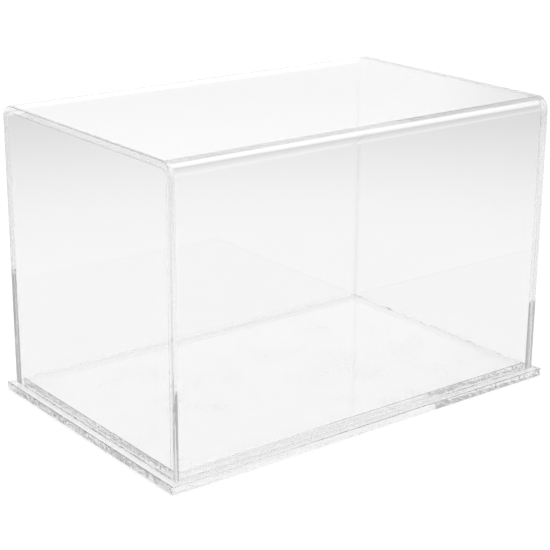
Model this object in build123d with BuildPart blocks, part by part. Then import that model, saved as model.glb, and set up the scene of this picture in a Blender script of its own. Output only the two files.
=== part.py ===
"""Clear acrylic display case for a full-size football.

A five-sided cover drops over a base. The cover's front, top and back are one sheet,
bent along both long top edges, and a flat panel set inside each end closes it. The
base is a plate that stands out all round, with a smaller riser plate bonded on top
that keeps the cover in place.

Millimetres. +X runs along the case, -Y is its front and +Z is up. The origin is the
centre of the base plate's underside.
"""

import os

from build123d import *

# Cover, outside sizes.
COVER_LENGTH = 317.5
COVER_DEPTH = 203.2
COVER_HEIGHT = 203.2
SHEET = 4.5
BEND_INNER_RADIUS = 4.5

# Base.
BASE_THICKNESS = 5.6
BASE_OVERHANG = 4.8
RISER_THICKNESS = 4.5
RISER_CLEARANCE = 1.2  # to the cover, on each side
EDGE_BREAK = 0.3  # chamfer that takes the sharpness off a plate's cut edges

# Sizes that follow from those above.
BEND_OUTER_RADIUS = BEND_INNER_RADIUS + SHEET
INNER_LENGTH = COVER_LENGTH - 2 * SHEET
INNER_DEPTH = COVER_DEPTH - 2 * SHEET
INNER_HEIGHT = COVER_HEIGHT - SHEET
BASE_LENGTH = COVER_LENGTH + 2 * BASE_OVERHANG
BASE_DEPTH = COVER_DEPTH + 2 * BASE_OVERHANG
RISER_LENGTH = INNER_LENGTH - 2 * RISER_CLEARANCE
RISER_DEPTH = INNER_DEPTH - 2 * RISER_CLEARANCE


def arch(width, height, corner_radius):
    """The cover's outline seen from its end: it stands on the base plate, both top corners round."""
    with BuildSketch() as outline:
        with Locations((0, BASE_THICKNESS)):
            Rectangle(width, height, align=(Align.CENTER, Align.MIN))
        fillet(outline.vertices().group_by(Axis.Y)[-1], corner_radius)
    return outline.sketch


outer_arch = arch(COVER_DEPTH, COVER_HEIGHT, BEND_OUTER_RADIUS)
inner_arch = arch(INNER_DEPTH, INNER_HEIGHT, BEND_INNER_RADIUS)

# Front, top and back: one sheet bent to a U, open at its ends and at its bottom.
with BuildPart() as cover_wrap:
    with BuildSketch(Plane.YZ.offset(-COVER_LENGTH / 2)):
        add(outer_arch)
        add(inner_arch, mode=Mode.SUBTRACT)
    extrude(amount=COVER_LENGTH)

# The end panels fill the U flush with its ends, rounded to its bends.
with BuildPart() as left_end_panel:
    with BuildSketch(Plane.YZ.offset(-COVER_LENGTH / 2)):
        add(inner_arch)
    extrude(amount=SHEET)

with BuildPart() as right_end_panel:
    with BuildSketch(Plane.YZ.offset(INNER_LENGTH / 2)):
        add(inner_arch)
    extrude(amount=SHEET)

with BuildPart() as base_plate:
    with BuildSketch(Plane.XY):
        Rectangle(BASE_LENGTH, BASE_DEPTH)
    extrude(amount=BASE_THICKNESS)
    chamfer(base_plate.edges(), EDGE_BREAK)

# Bonded on the base plate. Its lower edges stay sharp, against the base plate.
with BuildPart() as riser_plate:
    with BuildSketch(Plane.XY.offset(BASE_THICKNESS)):
        Rectangle(RISER_LENGTH, RISER_DEPTH)
    extrude(amount=RISER_THICKNESS)
    chamfer(riser_plate.faces().sort_by(Axis.Z)[-1].edges(), EDGE_BREAK)

pieces = {
    "cover_wrap": cover_wrap,
    "left_end_panel": left_end_panel,
    "right_end_panel": right_end_panel,
    "base_plate": base_plate,
    "riser_plate": riser_plate,
}

os.makedirs("parts", exist_ok=True)
for name, piece in pieces.items():
    piece.part.label = name
    export_step(piece.part, f"parts/{name}.step")
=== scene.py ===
import math

import bpy
from mathutils import Matrix, Vector


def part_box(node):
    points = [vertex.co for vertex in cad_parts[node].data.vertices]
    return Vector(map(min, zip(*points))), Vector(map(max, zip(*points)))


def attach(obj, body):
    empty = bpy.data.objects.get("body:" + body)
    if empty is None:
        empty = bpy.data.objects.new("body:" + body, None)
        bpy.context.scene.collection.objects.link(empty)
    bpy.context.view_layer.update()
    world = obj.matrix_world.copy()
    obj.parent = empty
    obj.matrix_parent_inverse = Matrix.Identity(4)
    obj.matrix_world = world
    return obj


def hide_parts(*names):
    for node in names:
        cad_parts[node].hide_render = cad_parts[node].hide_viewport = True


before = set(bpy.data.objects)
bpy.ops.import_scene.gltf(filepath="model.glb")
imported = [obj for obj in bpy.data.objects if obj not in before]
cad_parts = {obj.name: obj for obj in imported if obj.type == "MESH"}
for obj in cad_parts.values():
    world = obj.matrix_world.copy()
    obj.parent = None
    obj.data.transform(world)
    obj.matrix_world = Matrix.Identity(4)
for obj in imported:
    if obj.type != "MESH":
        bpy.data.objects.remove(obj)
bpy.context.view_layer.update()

MM = 0.001

# Sizes of the case, from the frame.
WRAP_LOW, WRAP_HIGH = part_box("cover_wrap")
PANEL_LOW, PANEL_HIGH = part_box("right_end_panel")
BASE_LOW, BASE_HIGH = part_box("base_plate")
RISER_LOW, RISER_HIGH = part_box("riser_plate")
SHEET = PANEL_HIGH.x - PANEL_LOW.x
PANEL_CORNER_RADIUS = 4.5 * MM
BEND_OUTER_RADIUS = PANEL_CORNER_RADIUS + SHEET

# Fine shape that only the visible pieces have.
EDGE_EASE = 0.25 * MM  # rounding scraped on every outside cut edge
SEAM_GROOVE = 0.12 * MM  # fine groove where an end panel meets the bent sheet
WELD_FILM = 0.02 * MM  # the cement between two welded faces
AIR_FILM = 0.10 * MM  # air under the loose cover and under the base
BEND_THINNING = 0.10 * MM  # off the bent sheet's inside, chosen by how its edge then guides light
BEND_STEPS = 28


# ---------------------------------------------------------------- shader helpers

def new_material(name):
    material = bpy.data.materials.new(name)
    material.use_nodes = True
    material.node_tree.nodes.clear()
    return material, material.node_tree


def add_node(tree, kind, **settings):
    node = tree.nodes.new(kind)
    for key, value in settings.items():
        if key in node.inputs:
            node.inputs[key].default_value = value
        else:
            setattr(node, key, value)
    return node


def noise(tree, coords, scale, stretch=(1, 1, 1), detail=2.0, roughness=0.5):
    """Noise over the piece, in metres, with features about 1 / scale long, longer along a small stretch."""
    mapping = add_node(tree, "ShaderNodeMapping", Scale=stretch)
    tree.links.new(coords, mapping.inputs["Vector"])
    texture = add_node(tree, "ShaderNodeTexNoise", Scale=scale, Detail=detail, Roughness=roughness)
    tree.links.new(mapping.outputs["Vector"], texture.inputs["Vector"])
    return texture.outputs["Fac"]


def remap(tree, value, from_low, from_high, to_low, to_high):
    node = add_node(tree, "ShaderNodeMapRange")
    node.inputs["From Min"].default_value = from_low
    node.inputs["From Max"].default_value = from_high
    node.inputs["To Min"].default_value = to_low
    node.inputs["To Max"].default_value = to_high
    tree.links.new(value, node.inputs["Value"])
    return node.outputs["Result"]


def math_node(tree, operation, a, b):
    node = add_node(tree, "ShaderNodeMath", operation=operation)
    for socket, value in zip(node.inputs, (a, b)):
        if isinstance(value, (int, float)):
            socket.default_value = value
        else:
            tree.links.new(value, socket)
    return node.outputs["Value"]


def bump(tree, height, distance, strength=1.0, normal=None):
    node = add_node(tree, "ShaderNodeBump", Distance=distance, Strength=strength)
    tree.links.new(height, node.inputs["Height"])
    if normal is not None:
        tree.links.new(normal, node.inputs["Normal"])
    return node.outputs["Normal"]


def to_surface(tree, shader_output):
    output = add_node(tree, "ShaderNodeOutputMaterial")
    tree.links.new(shader_output, output.inputs["Surface"])


ACRYLIC_IOR = 1.491


def acrylic_shader(tree, roughness, normal, passed):
    """Clear acrylic: it bends light, and each meeting with a face leaves this much of it."""
    shader = add_node(tree, "ShaderNodeBsdfGlass", IOR=ACRYLIC_IOR, Color=(passed, passed, passed, 1))
    tree.links.new(roughness, shader.inputs["Roughness"])
    tree.links.new(normal, shader.inputs["Normal"])
    to_surface(tree, shader.outputs["BSDF"])


def sheet_material():
    """The sheet's own faces: almost perfect, with a slow waviness and faint wiped smears."""
    material, tree = new_material("acrylic_face")
    coords = add_node(tree, "ShaderNodeTexCoord").outputs["Object"]
    smears = noise(tree, coords, 9.0, stretch=(1.0, 1.0, 2.2), detail=4.0, roughness=0.6)
    haze = remap(tree, smears, 0.52, 0.80, 0.0, 0.045)
    waves = noise(tree, coords, 7.0, detail=1.0)
    fine = noise(tree, coords, 60.0, detail=2.0)
    normal = bump(tree, waves, 0.12 * MM)
    normal = bump(tree, fine, 0.01 * MM, normal=normal)
    acrylic_shader(tree, haze, normal, passed=0.998)
    return material


def polished_edge_material():
    """A machined and polished edge: greyer than a face, with faint cutter marks across the sheet."""
    material, tree = new_material("acrylic_polished_edge")
    coords = add_node(tree, "ShaderNodeTexCoord").outputs["Object"]
    marks = noise(tree, coords, 420.0, stretch=(1, 1, 0.3), detail=2.0)
    waves = noise(tree, coords, 60.0, detail=1.0)
    haze = remap(tree, marks, 0.4, 0.7, 0.02, 0.07)
    normal = bump(tree, waves, 0.03 * MM)
    normal = bump(tree, marks, 0.005 * MM, normal=normal)
    acrylic_shader(tree, haze, normal, passed=0.955)
    return material


def sawn_edge_material():
    """A sawn edge: small bright facets at odd angles, with fine saw marks across the plate."""
    material, tree = new_material("acrylic_sawn_edge")
    coords = add_node(tree, "ShaderNodeTexCoord").outputs["Object"]
    facets = noise(tree, coords, 300.0, stretch=(1, 1, 0.8), detail=0.0, roughness=0.4)
    patches = noise(tree, coords, 170.0, detail=1.0)
    marks = noise(tree, coords, 900.0, stretch=(1, 1, 0.15), detail=2.0)
    depth = math_node(tree, "MULTIPLY", facets, remap(tree, patches, 0.52, 0.58, 0.0, 1.0))
    haze = remap(tree, marks, 0.4, 0.7, 0.0, 0.02)
    normal = bump(tree, depth, 0.9 * MM)
    normal = bump(tree, marks, 0.003 * MM, normal=normal)
    acrylic_shader(tree, haze, normal, passed=0.995)
    return material


def weld_material():
    """A welded face: it lets light straight through, but for small bubbles trapped in the cement."""
    material, tree = new_material("solvent_weld")
    coords = add_node(tree, "ShaderNodeTexCoord").outputs["Object"]
    clear = add_node(tree, "ShaderNodeBsdfTransparent", Color=(1, 1, 1, 1))
    bubble = add_node(tree, "ShaderNodeBsdfGlossy", Color=(0.75, 0.76, 0.76, 1), Roughness=0.15)
    spots = noise(tree, coords, 700.0, stretch=(1, 1, 0.45), detail=1.0)
    patches = noise(tree, coords, 28.0, detail=1.0)
    bubbles = remap(tree, spots, 0.66, 0.70, 0, 1)
    where = remap(tree, patches, 0.55, 0.62, 0, 1)
    joined = math_node(tree, "MULTIPLY", bubbles, where)
    mix = add_node(tree, "ShaderNodeMixShader")
    tree.links.new(joined, mix.inputs["Fac"])
    tree.links.new(clear.outputs["BSDF"], mix.inputs[1])
    tree.links.new(bubble.outputs["BSDF"], mix.inputs[2])
    to_surface(tree, mix.outputs["Shader"])
    return material


FACE = sheet_material()
POLISHED_EDGE = polished_edge_material()
SAWN_EDGE = sawn_edge_material()
WELD = weld_material()
SLOTS = [FACE, POLISHED_EDGE, SAWN_EDGE, WELD]
FACE_SLOT, POLISHED_SLOT, SAWN_SLOT, WELD_SLOT = range(4)


# ---------------------------------------------------------------- mesh helpers

class Shell:
    """Collects faces with their materials and normals, then makes one closed mesh of them."""

    def __init__(self):
        self.points, self.index = [], {}
        self.faces, self.slots, self.normals = [], [], []

    def vertex(self, point):
        key = tuple(round(c, 8) for c in point)
        if key not in self.index:
            self.index[key] = len(self.points)
            self.points.append(Vector(point))
        return self.index[key]

    def face(self, corners, slot, outward, normals=None):
        """One face, wound so that it faces outward, with its own normal at each corner where given."""
        corners = [Vector(c) for c in corners]
        normals = list(normals) if normals else None
        area = Vector()
        for a, b in zip(corners, corners[1:] + corners[:1]):
            area += a.cross(b)
        if area.dot(Vector(outward)) < 0:
            corners.reverse()
            if normals:
                normals.reverse()
            area = -area
        flat = area.normalized()
        self.faces.append([self.vertex(c) for c in corners])
        self.slots.append(slot)
        self.normals.append([Vector(n) for n in normals] if normals else [flat] * len(corners))

    def build(self, name, body, node):
        mesh = bpy.data.meshes.new(name)
        mesh.from_pydata([tuple(p) for p in self.points], [], self.faces)
        used = sorted(set(self.slots))
        for slot in used:
            mesh.materials.append(SLOTS[slot])
        for polygon, slot in zip(mesh.polygons, self.slots):
            polygon.material_index = used.index(slot)
            polygon.use_smooth = True
        mesh.normals_split_custom_set([tuple(n) for face in self.normals for n in face])
        mesh.update()
        piece = bpy.data.objects.new(name, mesh)
        bpy.context.collection.objects.link(piece)
        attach(piece, body)
        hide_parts(node)
        return piece


def arch_points(width, low, high, radius):
    """The outline from an end, as (y, z, outward y, outward z): up the front, over and down the back."""
    half = width / 2
    points = [(-half, low, -1, 0)]
    for centre_y, start in ((-half + radius, math.pi), (half - radius, math.pi / 2)):
        for step in range(BEND_STEPS + 1):
            angle = start - math.pi / 2 * step / BEND_STEPS
            out_y, out_z = math.cos(angle), math.sin(angle)
            points.append((centre_y + radius * out_y, high - radius + radius * out_z, out_y, out_z))
    points.append((half, low, 1, 0))
    return points


def shifted(points, distance):
    """An outline moved out by distance everywhere but at its feet's height."""
    return [(y + distance * ny, z + distance * nz, ny, nz) for y, z, ny, nz in points]


def skin(shell, rings, slots, sign):
    """Faces between outlines at successive x. Each ring is (x, outline); sign is +1 outside and -1 inside."""
    for (x0, ring0), (x1, ring1), slot in zip(rings, rings[1:], slots):
        for a0, b0, a1, b1 in zip(ring0, ring0[1:], ring1, ring1[1:]):
            corners = [(x0, a0[0], a0[1]), (x1, a1[0], a1[1]), (x1, b1[0], b1[1]), (x0, b0[0], b0[1])]
            flat = (0, sign * (a0[2] + b0[2]), sign * (a0[3] + b0[3]))
            slanted = abs(a0[0] - a1[0]) + abs(a0[1] - a1[1]) > 1e-7
            normals = None if slanted else [(0, sign * p[2], sign * p[3]) for p in (a0, a1, b1, b0)]
            shell.face(corners, slot, flat, normals)


def build_wrap():
    """Front, top and back: one sheet bent to a U. Its inside is welded to the end panels near each end."""
    low = WRAP_LOW.z + AIR_FILM
    width = WRAP_HIGH.y - WRAP_LOW.y
    outer = arch_points(width, low, WRAP_HIGH.z, BEND_OUTER_RADIUS)
    thickness = SHEET - BEND_THINNING
    inner = arch_points(width - 2 * thickness, low, WRAP_HIGH.z - thickness, BEND_OUTER_RADIUS - thickness)
    left, right = WRAP_LOW.x, WRAP_HIGH.x
    outer_rings = [
        (left, shifted(outer, -EDGE_EASE)),
        (left + EDGE_EASE, outer),
        (right - EDGE_EASE, outer),
        (right, shifted(outer, -EDGE_EASE)),
    ]
    inner_rings = [
        (left, shifted(inner, SEAM_GROOVE)),
        (left + SEAM_GROOVE, inner),
        (left + SHEET, inner),
        (right - SHEET, inner),
        (right - SEAM_GROOVE, inner),
        (right, shifted(inner, SEAM_GROOVE)),
    ]
    shell = Shell()
    skin(shell, outer_rings, [POLISHED_SLOT, FACE_SLOT, POLISHED_SLOT], 1)
    skin(shell, inner_rings, [POLISHED_SLOT, WELD_SLOT, FACE_SLOT, WELD_SLOT, POLISHED_SLOT], -1)
    for (x, out_ring), (_, in_ring), side in (
        (outer_rings[0], inner_rings[0], -1),
        (outer_rings[-1], inner_rings[-1], 1),
    ):
        for a, b, c, d in zip(out_ring, out_ring[1:], in_ring[1:], in_ring):
            shell.face([(x, p[0], p[1]) for p in (a, b, c, d)], POLISHED_SLOT, (side, 0, 0))
    for end in (0, -1):
        foot = [(x, ring[end][0], ring[end][1]) for x, ring in outer_rings]
        foot += [(x, ring[end][0], ring[end][1]) for x, ring in reversed(inner_rings)]
        shell.face(foot, POLISHED_SLOT, (0, 0, -1))
    return shell.build("bent_sheet_front_top_back", "cover", "cover_wrap")


def build_end_panel(name, node):
    """A flat panel inside the bent sheet. Its edges are welded all along, but for its foot."""
    low_corner, high_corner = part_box(node)
    low = low_corner.z + AIR_FILM
    width = high_corner.y - low_corner.y - 2 * WELD_FILM
    outline = arch_points(width, low, high_corner.z - WELD_FILM, PANEL_CORNER_RADIUS - WELD_FILM)
    outside = low_corner.x if low_corner.x < 0 else high_corner.x
    inside = high_corner.x if low_corner.x < 0 else low_corner.x
    side = math.copysign(1, outside)
    eased = shifted(outline, -SEAM_GROOVE)
    rings = [(outside, eased), (outside - side * SEAM_GROOVE, outline), (inside, outline)]
    shell = Shell()
    skin(shell, rings, [POLISHED_SLOT, WELD_SLOT], 1)
    shell.face([(outside, p[0], p[1]) for p in eased], FACE_SLOT, (side, 0, 0))
    shell.face([(inside, p[0], p[1]) for p in outline], FACE_SLOT, (-side, 0, 0))
    foot = [(x, ring[0][0], ring[0][1]) for x, ring in rings]
    foot += [(x, ring[-1][0], ring[-1][1]) for x, ring in reversed(rings)]
    shell.face(foot, POLISHED_SLOT, (0, 0, -1))
    return shell.build(name, "cover", node)


def rectangle(low, high, z, inset):
    return [
        (low.x + inset, low.y + inset, z),
        (high.x - inset, low.y + inset, z),
        (high.x - inset, high.y - inset, z),
        (low.x + inset, high.y - inset, z),
    ]


def plate_walls(shell, lower, upper, long_slot, end_slot):
    """A plate's four walls between two rectangles: the front and back ones, and those at its ends."""
    for i in range(4):
        j = (i + 1) % 4
        corners = [lower[i], lower[j], upper[j], upper[i]]
        middle = (Vector(lower[i]) + Vector(lower[j])) / 2
        slot = end_slot if i % 2 else long_slot
        shell.face(corners, slot, (middle.x if i % 2 else 0, 0 if i % 2 else middle.y, 0))


def build_base():
    low, high = BASE_LOW, BASE_HIGH
    ease = EDGE_EASE
    bottom = rectangle(low, high, low.z, ease)
    lower = rectangle(low, high, low.z + ease, 0)
    upper = rectangle(low, high, high.z - ease, 0)
    top = rectangle(low, high, high.z, ease)
    bonded = rectangle(RISER_LOW, RISER_HIGH, high.z, 0)
    shell = Shell()
    shell.face(bottom, FACE_SLOT, (0, 0, -1))
    plate_walls(shell, bottom, lower, POLISHED_SLOT, POLISHED_SLOT)
    plate_walls(shell, lower, upper, FACE_SLOT, SAWN_SLOT)
    plate_walls(shell, upper, top, POLISHED_SLOT, POLISHED_SLOT)
    for i in range(4):
        j = (i + 1) % 4
        shell.face([top[i], top[j], bonded[j], bonded[i]], FACE_SLOT, (0, 0, 1))
    shell.face(bonded, WELD_SLOT, (0, 0, 1))
    return shell.build("base_slab", "base", "base_plate")


def build_riser():
    low, high = RISER_LOW, RISER_HIGH
    bottom = rectangle(low, high, low.z + WELD_FILM, 0)
    upper = rectangle(low, high, high.z - EDGE_EASE, 0)
    top = rectangle(low, high, high.z, EDGE_EASE)
    shell = Shell()
    shell.face(bottom, WELD_SLOT, (0, 0, -1))
    plate_walls(shell, bottom, upper, FACE_SLOT, SAWN_SLOT)
    plate_walls(shell, upper, top, POLISHED_SLOT, POLISHED_SLOT)
    shell.face(top, FACE_SLOT, (0, 0, 1))
    return shell.build("riser_slab", "base", "riser_plate")


build_wrap()
build_end_panel("left_end_sheet", "left_end_panel")
build_end_panel("right_end_sheet", "right_end_panel")
build_base()
build_riser()


# ---------------------------------------------------------------- studio

VIEW_AZIMUTH = math.radians(37.704)  # the camera stands this far round from the front towards the left end
VIEW_ELEVATION = math.radians(18.504)
VIEW_ROLL = math.radians(0.384)
VIEW_DISTANCE = 1.1068
AIM_RIGHT, AIM_UP = -0.0025, 0.0780  # from the frame's origin, across and up the picture
LENS_MM, SENSOR_MM = 99.09, 36.0

# How bright the studio is. Where it changes with height, that is the upward part of a unit direction.
CEILING, ROOM, BACKDROP = 1.15, 0.50, 1.16
CEILING_STARTS, CEILING_FULL = 0.45, 0.65
BACKDROP_FULL, BACKDROP_ENDS = 0.22, 0.75
CARD_FULL, CARD_ENDS, CARD_PASSES = 0.22, 0.29, 0.03

# Degrees clockwise from straight behind the case: a direction, then how far to each side of it.
BACKDROP_AZIMUTH, BACKDROP_INNER, BACKDROP_OUTER = 15, 29, 38
CARD_AZIMUTH, CARD_INNER, CARD_OUTER = -40, 12, 20

FLOOR_GLOW = 0.155
FLOOR_HALF, SHADE_HALF = 12.0, 6.0

# The shade darkens from the middle outwards, then fades again. Distances are in metres.
SHADE_STARTS, SHADE_FULL, SHADE_MIDDLE, SHADE_DARKEST = 0.35, 1.15, 0.13, 0.365
SHADE_FADES, SHADE_FADED, SHADE_LEFT_OVER = 1.3, 1.9, 0.35


def build_camera():
    back = Vector((
        -math.sin(VIEW_AZIMUTH) * math.cos(VIEW_ELEVATION),
        -math.cos(VIEW_AZIMUTH) * math.cos(VIEW_ELEVATION),
        math.sin(VIEW_ELEVATION),
    ))
    right = (-back).cross(Vector((0, 0, 1))).normalized()
    up = right.cross(-back)
    place = back * VIEW_DISTANCE + right * AIM_RIGHT + up * AIM_UP
    cos_roll, sin_roll = math.cos(VIEW_ROLL), math.sin(VIEW_ROLL)
    rolled_right = cos_roll * right + sin_roll * up
    rolled_up = cos_roll * up - sin_roll * right
    data = bpy.data.cameras.new("camera")
    data.lens, data.sensor_width = LENS_MM, SENSOR_MM
    data.clip_start = 0.05
    camera = bpy.data.objects.new("camera", data)
    axes = Matrix((rolled_right, rolled_up, back)).transposed().to_4x4()
    camera.matrix_world = Matrix.Translation(place) @ axes
    bpy.context.collection.objects.link(camera)
    bpy.context.scene.camera = camera


def studio_plane(name, material, half, z):
    mesh = bpy.data.meshes.new(name)
    corners = [(-half, -half, z), (half, -half, z), (half, half, z), (-half, half, z)]
    mesh.from_pydata(corners, [], [(0, 1, 2, 3)])
    mesh.materials.append(material)
    plane = bpy.data.objects.new(name, mesh)
    bpy.context.collection.objects.link(plane)
    return plane


def build_floor():
    """A white floor, lit a little from below as on a light table."""
    material, tree = new_material("studio_floor")
    white = add_node(tree, "ShaderNodeBsdfDiffuse", Color=(0.93, 0.93, 0.93, 1))
    glow = add_node(tree, "ShaderNodeEmission", Strength=FLOOR_GLOW)
    both = add_node(tree, "ShaderNodeAddShader")
    tree.links.new(white.outputs["BSDF"], both.inputs[0])
    tree.links.new(glow.outputs["Emission"], both.inputs[1])
    to_surface(tree, both.outputs["Shader"])
    studio_plane("studio_floor", material, FLOOR_HALF, BASE_LOW.z - AIR_FILM)


def within(tree, heading, azimuth, inner, outer):
    """1 where a level heading is within inner degrees of an azimuth, falling to 0 at outer degrees."""
    azimuth, inner, outer = map(math.radians, (azimuth, inner, outer))
    facing = add_node(tree, "ShaderNodeVectorMath", operation="DOT_PRODUCT")
    tree.links.new(heading, facing.inputs[0])
    facing.inputs[1].default_value = (math.sin(azimuth), math.cos(azimuth), 0)
    return remap(tree, facing.outputs["Value"], math.cos(outer), math.cos(inner), 0.0, 1.0)


def build_world():
    """A grey room with a bright ceiling, a white backdrop behind the case and a low black card beside it."""
    world = bpy.data.worlds.new("studio")
    world.use_nodes = True
    tree = world.node_tree
    background = tree.nodes["Background"]
    direction = add_node(tree, "ShaderNodeTexCoord").outputs["Generated"]
    parts = add_node(tree, "ShaderNodeSeparateXYZ")
    tree.links.new(direction, parts.inputs["Vector"])
    level = add_node(tree, "ShaderNodeVectorMath", operation="MULTIPLY")
    tree.links.new(direction, level.inputs[0])
    level.inputs[1].default_value = (1, 1, 0)
    heading = add_node(tree, "ShaderNodeVectorMath", operation="NORMALIZE")
    tree.links.new(level.outputs["Vector"], heading.inputs[0])
    heading = heading.outputs["Vector"]
    height = parts.outputs["Z"]
    across = within(tree, heading, BACKDROP_AZIMUTH, BACKDROP_INNER, BACKDROP_OUTER)
    fading = remap(tree, height, BACKDROP_FULL, BACKDROP_ENDS, BACKDROP - ROOM, 0.0)
    backdrop = math_node(tree, "MULTIPLY", across, fading)
    ceiling = remap(tree, height, CEILING_STARTS, CEILING_FULL, ROOM, CEILING)
    card = within(tree, heading, CARD_AZIMUTH, CARD_INNER, CARD_OUTER)
    card = math_node(tree, "MULTIPLY", card, remap(tree, height, CARD_FULL, CARD_ENDS, 1.0, 0.0))
    passed = remap(tree, card, 0.0, 1.0, 1.0, CARD_PASSES)
    strength = math_node(tree, "MULTIPLY", math_node(tree, "ADD", backdrop, ceiling), passed)
    tree.links.new(strength, background.inputs["Strength"])
    background.inputs["Color"].default_value = (1, 1, 1, 1)
    bpy.context.scene.world = world


def build_shade():
    """Painted shade: a grey plane just over the floor, hidden from the camera, standing in for the floor's
    light falling off away from the case. It shows only in and through the acrylic.
    """
    material, tree = new_material("studio_shade")
    coords = add_node(tree, "ShaderNodeTexCoord").outputs["Object"]
    length = add_node(tree, "ShaderNodeVectorMath", operation="LENGTH")
    tree.links.new(coords, length.inputs[0])
    distance = length.outputs["Value"]
    near = remap(tree, distance, SHADE_STARTS, SHADE_FULL, SHADE_MIDDLE, SHADE_DARKEST)
    near.node.interpolation_type = "SMOOTHSTEP"
    fade = remap(tree, distance, SHADE_FADES, SHADE_FADED, 1.0, SHADE_LEFT_OVER)
    dark = math_node(tree, "MULTIPLY", near, fade)
    clear = add_node(tree, "ShaderNodeBsdfTransparent")
    black = add_node(tree, "ShaderNodeBsdfDiffuse", Color=(0.02, 0.02, 0.02, 1))
    mix = add_node(tree, "ShaderNodeMixShader")
    tree.links.new(dark, mix.inputs["Fac"])
    tree.links.new(clear.outputs["BSDF"], mix.inputs[1])
    tree.links.new(black.outputs["BSDF"], mix.inputs[2])
    to_surface(tree, mix.outputs["Shader"])
    shade = studio_plane("studio_shade", material, SHADE_HALF, BASE_LOW.z - AIR_FILM / 2)
    shade.visible_camera = False
    shade.visible_diffuse = False
    shade.visible_shadow = False


build_camera()
build_floor()
build_world()
build_shade()

scene = bpy.context.scene
scene.view_settings.view_transform = "Standard"
cycles = scene.cycles
GUIDED_BOUNCES = 400  # light trapped in a sheet meets its faces hundreds of times before it leaves
cycles.max_bounces = GUIDED_BOUNCES
cycles.blur_glossy = 0.0
cycles.diffuse_bounces = 6
cycles.glossy_bounces = GUIDED_BOUNCES
cycles.transmission_bounces = GUIDED_BOUNCES
cycles.transparent_max_bounces = 64
